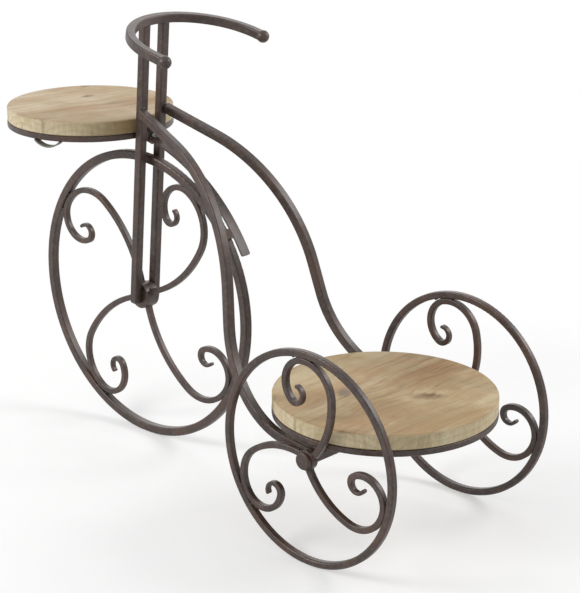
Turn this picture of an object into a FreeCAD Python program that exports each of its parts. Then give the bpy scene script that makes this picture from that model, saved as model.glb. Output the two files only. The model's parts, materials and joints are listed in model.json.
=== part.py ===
"""Tricycle plant stand: a parametric assembly of bent square bar, scroll-spoke wheels and round boards.

+X points to the rear of the stand, +Z up. The stand's left side is at -Y.
The origin is on the ground, below the middle of the stand's box.
"""
import FreeCAD, Part
import math
import os
import Sketcher

Vector = FreeCAD.Vector
Rotation = FreeCAD.Rotation
Placement = FreeCAD.Placement

# Driving sizes, in millimetres and degrees.
SIZES = {
    # Bar stock
    "main_bar": 12.0,
    "main_corner": 2.0,
    "rear_bar": 9.3,
    "scroll_bar": 8.0,
    "scroll_corner": 1.4,
    "ring_bar": 8.0,
    "ring_corner": 1.2,
    # Clearances
    "running_gap": 0.05,
    "side_gap": 0.3,
    "weld_gap": 0.02,
    "screw_gap": 0.1,
    # Wheels
    "front_wheel_radius": 206.0,
    "rear_wheel_radius": 138.5,
    "wheelbase": 451.0,
    "rear_track": 294.0,
    "front_hub_radius": 18.0,
    "rear_hub_radius": 12.5,
    "rear_hub_width": 10.0,
    "hub_corner": 1.2,
    "axle_radius": 5.0,
    # Front scrolls, each at its own place round the rim
    "front_scroll_1_angle": 60.7,
    "front_scroll_2_angle": 147.2,
    "front_scroll_3_angle": 238.7,
    "front_scroll_4_angle": 328.5,
    "front_scroll_lead_angle": 32.4,
    "front_swell_radius": 56.7,
    "front_curl_radius": 33.4,
    "front_tip_radius": 11.5,
    "front_curl_turn_angle": 148.0,
    "front_tip_turn_angle": 200.0,
    # Rear scrolls, each at its own place round the rim
    "left_rear_scroll_top_angle": 93.6,
    "left_rear_scroll_front_angle": 216.9,
    "left_rear_scroll_rear_angle": 344.5,
    "right_rear_scroll_top_angle": 104.2,
    "right_rear_scroll_front_angle": 220.4,
    "right_rear_scroll_rear_angle": 344.6,
    "rear_scroll_lead_angle": 67.7,
    "rear_swell_radius": 43.0,
    "rear_curl_radius": 31.1,
    "rear_tip_radius": 11.0,
    "rear_curl_turn_angle": 134.0,
    "rear_tip_turn_angle": 210.0,
    "scroll_tip": 4.6,
    # Fork and handlebar
    "post_gap": 22.0,
    "post_rake_angle": 4.7,
    "post_foot": 10.5,
    "post_foot_round": 6.0,
    "handlebar_height": 599.5,
    "handlebar_setback": 3.0,
    "handlebar_drop_angle": 12.2,
    "handlebar_radius": 96.5,
    "handlebar_left_limb": 25.0,
    "handlebar_right_limb": 7.0,
    "grip_ball_radius": 8.5,
    "grip_ball_seat": 4.5,
    # Frame bars
    "frame_bar_setout": 5.5,
    "frame_bar_height": 474.0,
    "frame_bar_inset": 17.0,
    "frame_bar_splay": 0.135,
    "frame_bar_slope_angle": 18.5,
    "frame_bar_steep_angle": 77.0,
    "upper_run_share": 0.222,
    "upper_bend_share": 0.56,
    "lower_bend_share": 0.364,
    # Mudguard strip and stop
    "mudguard_radius_share": 1.3135,
    "mudguard_rise_share": 1.1097,
    "mudguard_back_share": 0.1204,
    "mudguard_sweep_angle": 47.4,
    "mudguard_slope_angle": 12.2,
    "mudguard_width": 14.5,
    "mudguard_thickness": 3.0,
    "mudguard_corner": 3.0,
    "stop_turn_angle": 39.6,
    "stop_length": 12.0,
    "stop_width": 10.0,
    "stop_clearance": 1.5,
    # Boards
    "front_board_radius": 115.5,
    "front_board_lift": 51.5,
    "front_board_overlap": 11.0,
    "front_grain_angle": -12.0,
    "front_seam": -30.0,
    "front_stave_width": 84.0,
    "rear_board_lift": 45.0,
    "rear_board_lead": 5.0,
    "rear_wheel_gap": 0.5,
    "rear_grain_angle": 0.0,
    "rear_seam": -23.0,
    "rear_stave_width": 117.0,
    "board_thickness": 20.0,
    "board_round": 2.5,
    "ring_proud": 0.3,
    # Ring bracket, its bolt and nut
    "bracket_depth": 13.0,
    "bracket_drop": 3.0,
    "bracket_rise": 4.0,
    "bolt_radius": 2.0,
    "bolt_head_radius": 3.1,
    "bolt_head_height": 2.4,
    "nut_radius": 3.9,
    "nut_height": 3.2,
    # Loop strap under the front ring
    "loop_radius": 26.7,
    "loop_turn_angle": 90.0,
    "loop_width": 10.0,
    "loop_thickness": 2.0,
    "loop_angle": -71.2,
    # Tabs and wood screws
    "tab_length": 16.0,
    "tab_width": 14.0,
    "tab_thickness": 2.5,
    "screw_inset": 9.0,
    "screw_radius": 1.75,
    "screw_bite": 14.0,
    "screw_point": 4.0,
    "screw_head_radius": 4.0,
    "screw_head_height": 2.4,
    # Ends of the rear axle and seats of the rear ring
    "cap_radius": 11.0,
    "cap_socket": 3.0,
    "cap_crown": 2.4,
    "cap_round": 2.0,
    "seat_length": 12.0,
    "seat_width": 6.0,
}

FRONT_SCROLLS = 4
REAR_SCROLLS = ("top", "front", "rear")
FRONT_TAB_ANGLES = (60.0, 180.0, 300.0)
REAR_TAB_ANGLES = (40.0, 140.0, 220.0, 320.0)
QUARTER_TURN = 90.0
FULL_TURN = 360.0
CUT_MARGIN = 30.0
TINY = 1e-6
SIDES = {"left": -1.0, "right": 1.0}

doc = FreeCAD.newDocument("plant_stand")
sheet = doc.addObject("Spreadsheet::Sheet", "Sizes")
for row, (alias, value) in enumerate(SIZES.items(), start=1):
    sheet.set(f"A{row}", alias)
    sheet.set(f"B{row}", str(value))
    sheet.setAlias(f"B{row}", alias)
doc.recompute()

nodes = {}


def size(alias):
    """Value of one driving size."""
    return float(sheet.get(alias))


def cell(alias):
    """Name of one driving size in an expression."""
    return f"Sizes.{alias}"


def keep(name, piece, placement=None):
    """Registers a finished piece under its node name."""
    piece.Label = name
    if placement is not None:
        piece.Placement = placement
    nodes[name] = piece
    return piece


def polar(radius, degrees):
    """Point of a plane at a radius and an angle."""
    angle = math.radians(degrees)
    return radius * math.cos(angle), radius * math.sin(angle)


# Helpers for sketches and features

def new_body(name):
    return doc.addObject("PartDesign::Body", f"{name}_body")


def new_sketch(body, plane, name):
    """Sketch on one of the body's own origin planes."""
    sketch = body.newObject("Sketcher::SketchObject", name)
    support = next(item for item in body.Origin.OriginFeatures if item.Role == plane)
    sketch.AttachmentSupport = [(support, "")]
    sketch.MapMode = "FlatFace"
    return sketch


def bind(sketch, constraint, expression):
    """Adds a sized constraint and binds it to an expression."""
    index = sketch.addConstraint(constraint)
    sketch.setExpression(f"Constraints[{index}]", expression)


def evaluate(expression):
    """Number that an expression of the sheet gives."""
    result = sheet.evalExpression(expression)
    return float(getattr(result, "Value", result))


def pin_point(sketch, line, corner, across, along):
    """Fixes one end of a line by its two distances from the sketch's origin."""
    if across == "0":
        sketch.addConstraint(Sketcher.Constraint("PointOnObject", line, corner, -2))
    else:
        value = evaluate(across)
        bind(sketch, Sketcher.Constraint("DistanceX", -1, 1, line, corner, value), across)
    if along == "0":
        sketch.addConstraint(Sketcher.Constraint("PointOnObject", line, corner, -1))
    else:
        value = evaluate(along)
        bind(sketch, Sketcher.Constraint("DistanceY", -1, 1, line, corner, value), along)


def draw_outline(sketch, outline):
    """Closed outline of straight lines through points given as pairs of expressions."""
    points = [Vector(evaluate(across), evaluate(along), 0) for across, along in outline]
    count = len(points)
    for index in range(count):
        sketch.addGeometry(Part.LineSegment(points[index], points[(index + 1) % count]))
    for index in range(count):
        sketch.addConstraint(Sketcher.Constraint("Coincident", index, 2, (index + 1) % count, 1))
    for index, (across, along) in enumerate(outline):
        pin_point(sketch, index, 1, across, along)


def draw_rounded_square(sketch, side, corner):
    """Square with round corners, centred on the sketch's origin."""
    half = evaluate(side) / 2
    radius = evaluate(corner)
    flat = half - radius
    ends = [((-flat, -half), (flat, -half)), ((half, -flat), (half, flat)),
            ((flat, half), (-flat, half)), ((-half, flat), (-half, -flat))]
    for start, end in ends:
        sketch.addGeometry(Part.LineSegment(Vector(*start, 0), Vector(*end, 0)))
    centres = [(flat, -flat), (flat, flat), (-flat, flat), (-flat, -flat)]
    for index, centre in enumerate(centres):
        circle = Part.Circle(Vector(*centre, 0), Vector(0, 0, 1), radius)
        first = math.radians(QUARTER_TURN * (index - 1))
        sketch.addGeometry(Part.ArcOfCircle(circle, first, first + math.pi / 2))
    for index in range(4):
        arc = 4 + index
        sketch.addConstraint(Sketcher.Constraint("Tangent", index, 2, arc, 1))
        sketch.addConstraint(Sketcher.Constraint("Tangent", arc, 2, (index + 1) % 4, 1))
    sketch.addConstraint(Sketcher.Constraint("Horizontal", 0))
    sketch.addConstraint(Sketcher.Constraint("Vertical", 1))
    sketch.addConstraint(Sketcher.Constraint("Horizontal", 2))
    sketch.addConstraint(Sketcher.Constraint("Vertical", 3))
    for arc in (5, 6, 7):
        sketch.addConstraint(Sketcher.Constraint("Equal", 4, arc))
    bind(sketch, Sketcher.Constraint("Radius", 4, radius), corner)
    bind(sketch, Sketcher.Constraint("DistanceX", 3, 1, 1, 1, 2 * half), side)
    bind(sketch, Sketcher.Constraint("DistanceY", 0, 1, 2, 1, 2 * half), side)
    sketch.addConstraint(Sketcher.Constraint("Symmetric", 4, 3, 6, 3, -1, 1))


def round_edges(body, base, chosen, radius):
    """Rounds the edges of a feature that the test picks."""
    doc.recompute()
    names = [f"Edge{number}" for number, edge in enumerate(base.Shape.Edges, start=1) if chosen(edge)]
    fillet = body.newObject("PartDesign::Fillet", f"{base.Name}_round")
    fillet.Base = (base, names)
    fillet.setExpression("Radius", radius)
    return fillet


def is_circle(edge):
    """True for a whole circle with a face on both sides."""
    return isinstance(edge.Curve, Part.Circle) and edge.isClosed()


def turned(name, plane, outline, turn=None):
    """Body turned round the vertical axis of its sketch: Y for the XY plane, Z for the XZ plane."""
    body = new_body(name)
    sketch = new_sketch(body, plane, f"{name}_outline")
    draw_outline(sketch, outline)
    revolve = body.newObject("PartDesign::Revolution", f"{name}_turn")
    revolve.Profile = sketch
    revolve.ReferenceAxis = (sketch, ["V_Axis"])
    if turn is None:
        revolve.Angle = FULL_TURN
    else:
        revolve.Midplane = True
        revolve.setExpression("Angle", turn)
    doc.recompute()
    return body, revolve


def rectangle(inner, outer, low, high):
    """Outline of a ring's section."""
    return [(inner, low), (outer, low), (outer, high), (inner, high)]


def turned_ring(name, plane, inner, outer, low, high, corner):
    """Ring or disc with rounded edges."""
    body, revolve = turned(name, plane, rectangle(inner, outer, low, high))
    round_edges(body, revolve, is_circle, corner)
    return body


def swept_bar(name, draw_path, segments):
    """Square bar bent along a path that starts at the body's origin, along its X axis."""
    body = new_body(name)
    section = new_sketch(body, "YZ_Plane", f"{name}_section")
    draw_rounded_square(section, cell("main_bar"), cell("main_corner"))
    path = draw_path(body)
    doc.recompute()
    pipe = body.newObject("PartDesign::AdditivePipe", f"{name}_bend")
    pipe.Profile = section
    pipe.Spine = (path, [f"Edge{number}" for number in range(1, segments + 1)])
    doc.recompute()
    return body


def cylinder(name, radius, height, placement):
    piece = doc.addObject("Part::Cylinder", name)
    piece.setExpression("Radius", radius)
    piece.setExpression("Height", height)
    piece.Placement = placement
    return piece


def box(name, length, width, height, placement):
    piece = doc.addObject("Part::Box", name)
    piece.setExpression("Length", length)
    piece.setExpression("Width", width)
    piece.setExpression("Height", height)
    piece.Placement = placement
    return piece


def cut(name, base, tool):
    piece = doc.addObject("Part::Cut", name)
    piece.Base = base
    piece.Tool = tool
    return piece


def group(name, members):
    piece = doc.addObject("Part::Compound", name)
    piece.Links = members
    return piece


# Places that several pieces share

ring_outer_front = f"({cell('front_board_radius')} + {cell('ring_proud')})"
ring_outer_rear = f"({cell('rear_track')} / 2 - {cell('scroll_bar')} / 2 - {cell('rear_wheel_gap')})"
front_board_edge = cell("front_board_radius")
rear_board_edge = f"({ring_outer_rear} - {cell('ring_proud')})"
front_board_top = f"(2 * {cell('front_wheel_radius')} + {cell('front_board_lift')})"
rear_board_top = f"({cell('rear_wheel_radius')} + {cell('rear_board_lift')})"
board_reach = size("front_board_radius") - size("front_board_overlap")
front_reach = board_reach + evaluate(ring_outer_front)
rear_reach = size("wheelbase") + size("rear_wheel_radius")
front_x = (front_reach - rear_reach) / 2
front_z = size("front_wheel_radius")
rear_x = front_x + size("wheelbase")
rear_z = size("rear_wheel_radius")
board_x = front_x - board_reach
rear_board_x = rear_x - size("rear_board_lead")
half_bar = size("main_bar") / 2
half_track = size("rear_track") / 2
post_y = size("post_gap") / 2 + half_bar
rake = math.radians(size("post_rake_angle"))
drop = math.radians(size("handlebar_drop_angle"))
along_y = Rotation(Vector(1, 0, 0), -QUARTER_TURN)
along_x = Rotation(Vector(0, 1, 0), QUARTER_TURN)


def post_x(height):
    """Middle of the fork posts at a height."""
    return front_x + (height - front_z) * math.tan(rake)


# Wheels

def wheel_rim(name, radius, bar, centre):
    inner = f"{cell(radius)} - {cell(bar)}"
    low = f"-{cell(bar)} / 2"
    high = f"{cell(bar)} / 2"
    body = turned_ring(name, "XY_Plane", inner, cell(radius), low, high, cell("main_corner"))
    keep(name, body, Placement(centre, Rotation()))


def wheel_hub(name, radius, width, centre):
    bore = f"{cell('axle_radius')} + {cell('running_gap')}"
    body = turned_ring(name, "XY_Plane", bore, cell(radius), f"-({width}) / 2", f"({width}) / 2",
                       cell("hub_corner"))
    keep(name, body, Placement(centre, Rotation()))


def arc_between(start, end, heading):
    """Arc from a point to another that leaves the first along a heading."""
    chord = end - start
    side = Vector(-heading.y, heading.x, 0)
    bend = chord.dot(side)
    if abs(bend) < TINY * chord.Length:
        return Part.LineSegment(start, end).toShape()
    radius = chord.Length ** 2 / (2 * bend)
    centre = start + side * radius
    middle = (start + end) / 2 - centre
    reach = middle.normalize() * abs(radius)
    if chord.dot(heading) < 0:
        reach = reach * -1
    return Part.Arc(start, centre + reach, end).toShape()


def turn_vector(vector, angle):
    """Vector turned in the plane of the wheel."""
    cosine = math.cos(angle)
    sine = math.sin(angle)
    return Vector(vector.x * cosine - vector.y * sine, vector.x * sine + vector.y * cosine, 0)


def scroll_shape(wheel, rim_inner, hub_radius):
    """Scroll spoke in the XY plane, with the point where it meets the rim on the X axis."""
    width = size("scroll_bar")
    tip = size("scroll_tip")
    contact = rim_inner - width / 2 - size("weld_gap")
    swell = size(f"{wheel}_swell_radius")
    curl = size(f"{wheel}_curl_radius")
    inner = size(f"{wheel}_tip_radius")
    curl_turn = math.radians(size(f"{wheel}_curl_turn_angle"))
    tip_turn = math.radians(size(f"{wheel}_tip_turn_angle"))
    lead_x, lead_y = polar(hub_radius - width / 2, -size(f"{wheel}_scroll_lead_angle"))
    # The spoke runs from the hub through a wide swell to the rim, then winds into the curl and the tip.
    swell_start = Vector(contact - swell, -swell, 0)
    rim_point = Vector(contact, 0, 0)
    curl_centre = Vector(contact - curl, 0, 0)
    outward = turn_vector(Vector(1, 0, 0), curl_turn)
    curl_end = curl_centre + outward * curl
    tip_centre = curl_centre + outward * (curl - inner)
    tip_out = turn_vector(outward, tip_turn)
    lead_start = Vector(lead_x, lead_y, 0)
    lead_normal = lead_side(swell_start, lead_start)

    def edge_points(side, tip_half):
        """Corners of one long edge of the bar, on the given side of its middle line."""
        offset = side * width / 2
        return (lead_start + lead_normal * offset,
                swell_start + Vector(0, -offset, 0),
                rim_point + Vector(offset, 0, 0),
                curl_end + outward * offset,
                tip_centre + tip_out * (inner + side * tip_half))

    def edge_arcs(points, side):
        offset = side * width / 2
        lead, swell_at, rim_at, curl_at, tip_at = points
        half_swell = turn_vector(Vector(1, 0, 0), -math.pi / 4)
        swell_mid = Vector(contact - swell, 0, 0) + half_swell * (swell + offset)
        curl_mid = curl_centre + turn_vector(Vector(1, 0, 0), curl_turn / 2) * (curl + offset)
        heading = turn_vector(outward, math.pi / 2)
        return [arc_between(swell_at, lead, Vector(-1, 0, 0)),
                Part.Arc(swell_at, swell_mid, rim_at).toShape(),
                Part.Arc(rim_at, curl_mid, curl_at).toShape(),
                arc_between(curl_at, tip_at, heading)]

    outer_points = edge_points(1.0, tip / 2)
    inner_points = edge_points(-1.0, tip / 2)
    tip_middle = (outer_points[4] + inner_points[4]) / 2
    tip_heading = turn_vector(tip_out, math.pi / 2)
    tip_end = Part.Arc(outer_points[4], tip_middle + tip_heading * (tip / 2), inner_points[4]).toShape()
    root = Part.LineSegment(inner_points[0], outer_points[0]).toShape()
    edges = edge_arcs(outer_points, 1.0) + [tip_end] + edge_arcs(inner_points, -1.0) + [root]
    wire = Part.Wire(Part.__sortEdges__(edges))
    face = Part.Face(wire)
    solid = face.extrude(Vector(0, 0, width))
    solid.translate(Vector(0, 0, -width / 2))
    hub_edge = hub_radius + size("weld_gap")
    coped = solid.cut(Part.makeCylinder(hub_edge, 2 * width, Vector(0, 0, -width)))
    rims = [edge for edge in coped.Edges if is_long_rim(edge, width / 2, hub_edge)]
    return coped.makeFillet(size("scroll_corner"), rims).Solids[0]


def is_long_rim(edge, level, hub_edge):
    """True for an edge of the scroll's two flat sides that isn't part of its cope on the hub."""
    ends = [math.hypot(vertex.X, vertex.Y) for vertex in edge.Vertexes]
    on_hub = all(abs(reach - hub_edge) < TINY for reach in ends)
    return abs(abs(edge.CenterOfMass.z) - level) < TINY and not on_hub


def lead_side(swell_start, lead_start):
    """Outward side of the spoke where it leaves the hub."""
    chord = lead_start - swell_start
    angle = 2 * math.atan2(-chord.y, -chord.x)
    heading = turn_vector(Vector(1, 0, 0), angle)
    return Vector(heading.y, -heading.x, 0)


def wheel_scroll(name, wheel, rim_inner, hub_radius, angle, centre):
    piece = doc.addObject("Part::Feature", f"{name}_spoke")
    piece.Shape = scroll_shape(wheel, rim_inner, hub_radius)
    # The wheel's plane stands upright: the scroll's own Y axis becomes +Z, seen from the left side.
    upright = Rotation(Vector(1, 0, 0), QUARTER_TURN)
    spin = Rotation(Vector(0, 1, 0), -angle)
    keep(name, piece, Placement(centre, spin.multiply(upright)))


front_centre = Vector(front_x, 0, front_z)
wheel_rim("front_rim", "front_wheel_radius", "main_bar", front_centre)
front_rim_inner = size("front_wheel_radius") - size("main_bar")
front_hub_width = f"{cell('post_gap')} - 2 * {cell('side_gap')}"
wheel_hub("front_hub", "front_hub_radius", front_hub_width, front_centre)
for number in range(FRONT_SCROLLS):
    name = f"front_scroll_{number + 1}"
    angle = size(f"{name}_angle")
    wheel_scroll(name, "front", front_rim_inner, size("front_hub_radius"), angle, front_centre)

rear_rim_inner = size("rear_wheel_radius") - size("rear_bar")
for side, sign in SIDES.items():
    centre = Vector(rear_x, sign * half_track, rear_z)
    wheel_rim(f"{side}_rear_rim", "rear_wheel_radius", "rear_bar", centre)
    wheel_hub(f"{side}_rear_hub", "rear_hub_radius", cell("rear_hub_width"), centre)
    for place in REAR_SCROLLS:
        name = f"{side}_rear_scroll_{place}"
        angle = size(f"{name}_angle")
        wheel_scroll(name, "rear", rear_rim_inner, size("rear_hub_radius"), angle, centre)


# Fork posts, with a foot rounded both ways below the axle pin and a top cut to the slope of the handlebar

bar_foot_z = size("handlebar_height") - half_bar / math.cos(drop)
post_top = (bar_foot_z - front_z) / math.cos(rake)


def fork_post(name, sign):
    body = new_body(name)
    sketch = new_sketch(body, "XZ_Plane", f"{name}_outline")
    half = half_bar
    rise = half * math.tan(drop - rake)
    foot = half - size("post_foot")
    sketch.addGeometry(Part.LineSegment(Vector(half, foot, 0), Vector(half, post_top - rise, 0)))
    sketch.addGeometry(Part.LineSegment(Vector(half, post_top - rise, 0), Vector(-half, post_top + rise, 0)))
    sketch.addGeometry(Part.LineSegment(Vector(-half, post_top + rise, 0), Vector(-half, foot, 0)))
    circle = Part.Circle(Vector(0, foot, 0), Vector(0, 0, 1), half)
    sketch.addGeometry(Part.ArcOfCircle(circle, math.pi, 2 * math.pi))
    pin_hole = f"{cell('axle_radius')} + {cell('weld_gap')}"
    sketch.addGeometry(Part.Circle(Vector(0, 0, 0), Vector(0, 0, 1), evaluate(pin_hole)))
    sketch.addConstraint(Sketcher.Constraint("Coincident", 0, 2, 1, 1))
    sketch.addConstraint(Sketcher.Constraint("Coincident", 1, 2, 2, 1))
    sketch.addConstraint(Sketcher.Constraint("Tangent", 2, 2, 3, 1))
    sketch.addConstraint(Sketcher.Constraint("Tangent", 3, 2, 0, 1))
    sketch.addConstraint(Sketcher.Constraint("Vertical", 0))
    sketch.addConstraint(Sketcher.Constraint("PointOnObject", 3, 3, -2))
    sketch.addConstraint(Sketcher.Constraint("Coincident", 4, 3, -1, 1))
    slope = f"({cell('handlebar_drop_angle')} - {cell('post_rake_angle')}) * 1 deg"
    bar_cosine = f"cos({cell('handlebar_drop_angle')} * 1 deg)"
    post_cosine = f"cos({cell('post_rake_angle')} * 1 deg)"
    bar_foot = f"{cell('handlebar_height')} - {cell('main_bar')} / 2 / {bar_cosine}"
    middle = f"({bar_foot} - {cell('front_wheel_radius')}) / {post_cosine}"
    lift = f"{cell('main_bar')} / 2 * tan({slope})"
    bind(sketch, Sketcher.Constraint("DistanceX", -1, 1, 0, 1, half), f"{cell('main_bar')} / 2")
    bind(sketch, Sketcher.Constraint("DistanceY", -1, 1, 0, 2, post_top - rise), f"{middle} - {lift}")
    bind(sketch, Sketcher.Constraint("DistanceY", -1, 1, 1, 2, post_top + rise), f"{middle} + {lift}")
    foot_level = f"{cell('main_bar')} / 2 - {cell('post_foot')}"
    bind(sketch, Sketcher.Constraint("DistanceY", -1, 1, 3, 3, foot), foot_level)
    bind(sketch, Sketcher.Constraint("Radius", 4, evaluate(pin_hole)), pin_hole)
    pad = body.newObject("PartDesign::Pad", f"{name}_pad")
    pad.Profile = sketch
    pad.Midplane = True
    pad.setExpression("Length", cell("main_bar"))

    def is_long(edge):
        return isinstance(edge.Curve, Part.Line) and edge.Length > post_top / 2

    round_edges(body, pad, is_long, cell("main_corner"))
    # What is left of a block at the outer lower edge beside a rod across the post is cut away.
    foot_round = size("post_foot_round")
    rod_y = sign * (half - foot_round)
    rod_z = foot_round - size("post_foot")
    rod_length = f"4 * {cell('main_bar')}"
    rod_start = Vector(-evaluate(rod_length) / 2, rod_y, rod_z)
    rod = cylinder(f"{name}_foot_rod", cell("post_foot_round"), rod_length, Placement(rod_start, along_x))
    block_start = Vector(-half_bar, min(rod_y, sign * half), -size("post_foot"))
    block = box(f"{name}_foot_block", cell("main_bar"), cell("post_foot_round"), cell("post_foot_round"),
                Placement(block_start, Rotation()))
    rounded = cut(f"{name}_foot", body, cut(f"{name}_foot_trim", block, rod))
    lean = Rotation(Vector(0, 1, 0), size("post_rake_angle"))
    keep(name, rounded, Placement(Vector(front_x, sign * post_y, front_z), lean))


for side, sign in SIDES.items():
    fork_post(f"{side}_fork_post", sign)

pin_length = f"{cell('post_gap')} + 2 * {cell('main_bar')}"
pin_start = Vector(front_x, -post_y - half_bar, front_z)
pin = cylinder("front_pin", cell("axle_radius"), pin_length, Placement(pin_start, along_y))
keep("front_axle_pin", pin)


# Handlebar: a half circle over the posts with two short limbs, and a ball on each end

def handlebar_path(body):
    path = new_sketch(body, "XY_Plane", "handlebar_path")
    near = size("handlebar_left_limb")
    far = size("handlebar_right_limb")
    radius = size("handlebar_radius")
    path.addGeometry(Part.LineSegment(Vector(0, 0, 0), Vector(-near, 0, 0)))
    circle = Part.Circle(Vector(-near, radius, 0), Vector(0, 0, 1), radius)
    path.addGeometry(Part.ArcOfCircle(circle, math.pi / 2, 3 * math.pi / 2))
    path.addGeometry(Part.LineSegment(Vector(-near, 2 * radius, 0), Vector(far - near, 2 * radius, 0)))
    path.addConstraint(Sketcher.Constraint("Coincident", 0, 1, -1, 1))
    path.addConstraint(Sketcher.Constraint("Horizontal", 0))
    path.addConstraint(Sketcher.Constraint("Tangent", 0, 2, 1, 2))
    path.addConstraint(Sketcher.Constraint("Tangent", 1, 1, 2, 1))
    path.addConstraint(Sketcher.Constraint("Horizontal", 2))
    bind(path, Sketcher.Constraint("DistanceX", 0, 2, 0, 1, near), cell("handlebar_left_limb"))
    bind(path, Sketcher.Constraint("DistanceX", 2, 1, 2, 2, far), cell("handlebar_right_limb"))
    bind(path, Sketcher.Constraint("Radius", 1, radius), cell("handlebar_radius"))
    return path


handlebar = swept_bar("handlebar", handlebar_path, 3)
bar_radius = size("handlebar_radius")
apex_back = bar_radius - math.sqrt(bar_radius ** 2 - post_y ** 2)
bar_slope = Vector(math.cos(drop), 0, -math.sin(drop))
bar_over_post = Vector(post_x(bar_foot_z), 0, size("handlebar_height"))
bar_apex = bar_over_post + bar_slope * (size("handlebar_setback") - apex_back)


def limb_end(side):
    """End of one limb's middle line."""
    return bar_apex + bar_slope * (bar_radius + size(f"handlebar_{side}_limb"))


tilt = Rotation(Vector(0, 1, 0), size("handlebar_drop_angle"))
keep("handlebar", handlebar, Placement(limb_end("left") + Vector(0, -bar_radius, 0), tilt))

ball_turn = Rotation(Vector(0, 1, 0), size("handlebar_drop_angle") + QUARTER_TURN)
for side, sign in SIDES.items():
    ball = doc.addObject("Part::Sphere", f"{side}_ball")
    ball.setExpression("Radius", cell("grip_ball_radius"))
    ball.setExpression("Angle1", f"-asin({cell('grip_ball_seat')} / {cell('grip_ball_radius')})")
    ball_centre = limb_end(side) + bar_slope * size("grip_ball_seat") + Vector(0, sign * bar_radius, 0)
    keep(f"{side}_grip_ball", ball, Placement(ball_centre, ball_turn))


# Frame bars: each is bent in one flat plane that splays outwards from the post to the axle

bar_drop = f"({cell('frame_bar_height')} - {cell('rear_wheel_radius')})"
bar_spread_half = f"({cell('rear_track')} / 2 - {cell('frame_bar_inset')})"
bar_reach = f"sqrt({bar_drop} * {cell('wheelbase')})"
upper_run = f"{cell('upper_run_share')} * {bar_reach}"
upper_bend = f"{cell('upper_bend_share')} * {bar_reach}"
lower_bend = f"{cell('lower_bend_share')} * {bar_reach}"
frame_bar_drop = evaluate(bar_drop)
frame_bar_y = evaluate(bar_spread_half)
frame_bar_start_x = post_x(size("frame_bar_height")) + half_bar / math.cos(rake)
frame_bar_start_y = post_y + size("frame_bar_setout")
splay = size("frame_bar_splay")
bar_widening = frame_bar_y - frame_bar_start_y - splay * frame_bar_drop
bar_spread = bar_widening / (rear_x - frame_bar_start_x)
bar_axis = Vector(1, bar_spread, 0).normalize()
bar_normal = Vector(-bar_spread, 1, splay).normalize()
bar_rise_axis = bar_axis.cross(bar_normal)
frame_bar_rise = frame_bar_drop / bar_rise_axis.z
frame_bar_span = (rear_x - frame_bar_start_x + frame_bar_rise * bar_rise_axis.x) / bar_axis.x


def frame_bar_path(body):
    """Level run from the axle, lower bend, steep run, upper bend and sloping run into the post."""
    path = new_sketch(body, "XZ_Plane", f"{body.Name}_path")
    slope = math.radians(size("frame_bar_slope_angle"))
    steep = math.radians(size("frame_bar_steep_angle"))
    upper = evaluate(upper_bend)
    lower = evaluate(lower_bend)
    run = evaluate(upper_run)
    steep_side = Vector(math.sin(steep), math.cos(steep), 0)
    slope_side = Vector(math.sin(slope), math.cos(slope), 0)
    steep_up = Vector(-math.cos(steep), math.sin(steep), 0)
    slope_up = Vector(-math.cos(slope), math.sin(slope), 0)
    bend_rise = lower * (1 - steep_side.y) + upper * (slope_side.y - steep_side.y)
    steep_run = (frame_bar_rise - run * slope_up.y - bend_rise) / steep_up.y
    bend_span = lower * steep_side.x + upper * (steep_side.x - slope_side.x)
    level_run = frame_bar_span + run * slope_up.x + steep_run * steep_up.x - bend_span
    level_end = Vector(-level_run, 0, 0)
    lower_centre = level_end + Vector(0, lower, 0)
    steep_start = lower_centre - steep_side * lower
    steep_end = steep_start + steep_up * steep_run
    upper_centre = steep_end - steep_side * upper
    slope_start = upper_centre + slope_side * upper
    slope_end = slope_start + slope_up * (run + CUT_MARGIN)
    lower_circle = Part.Circle(lower_centre, Vector(0, 0, 1), lower)
    upper_circle = Part.Circle(upper_centre, Vector(0, 0, 1), upper)
    path.addGeometry(Part.LineSegment(Vector(0, 0, 0), level_end))
    path.addGeometry(Part.ArcOfCircle(lower_circle, 3 * math.pi / 2 - steep, 3 * math.pi / 2))
    path.addGeometry(Part.LineSegment(steep_start, steep_end))
    path.addGeometry(Part.ArcOfCircle(upper_circle, math.pi / 2 - steep, math.pi / 2 - slope))
    path.addGeometry(Part.LineSegment(slope_start, slope_end))
    path.addConstraint(Sketcher.Constraint("Tangent", 0, 2, 1, 2))
    path.addConstraint(Sketcher.Constraint("Tangent", 1, 1, 2, 1))
    path.addConstraint(Sketcher.Constraint("Tangent", 2, 2, 3, 1))
    path.addConstraint(Sketcher.Constraint("Tangent", 3, 2, 4, 1))
    path.addConstraint(Sketcher.Constraint("Coincident", 0, 1, -1, 1))
    path.addConstraint(Sketcher.Constraint("Horizontal", 0))
    bind(path, Sketcher.Constraint("Radius", 1, lower), lower_bend)
    bind(path, Sketcher.Constraint("Radius", 3, upper), upper_bend)
    steep_angle = f"180 deg - {cell('frame_bar_steep_angle')} * 1 deg"
    slope_angle = f"180 deg - {cell('frame_bar_slope_angle')} * 1 deg"
    bind(path, Sketcher.Constraint("Angle", 2, math.pi - steep), steep_angle)
    bind(path, Sketcher.Constraint("Angle", 4, math.pi - slope), slope_angle)
    path.addConstraint(Sketcher.Constraint("Distance", 4, run + CUT_MARGIN))
    path.addConstraint(Sketcher.Constraint("DistanceX", 4, 2, -1, 1, -slope_end.x))
    path.addConstraint(Sketcher.Constraint("DistanceY", -1, 1, 4, 2, slope_end.y))
    return path


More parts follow.
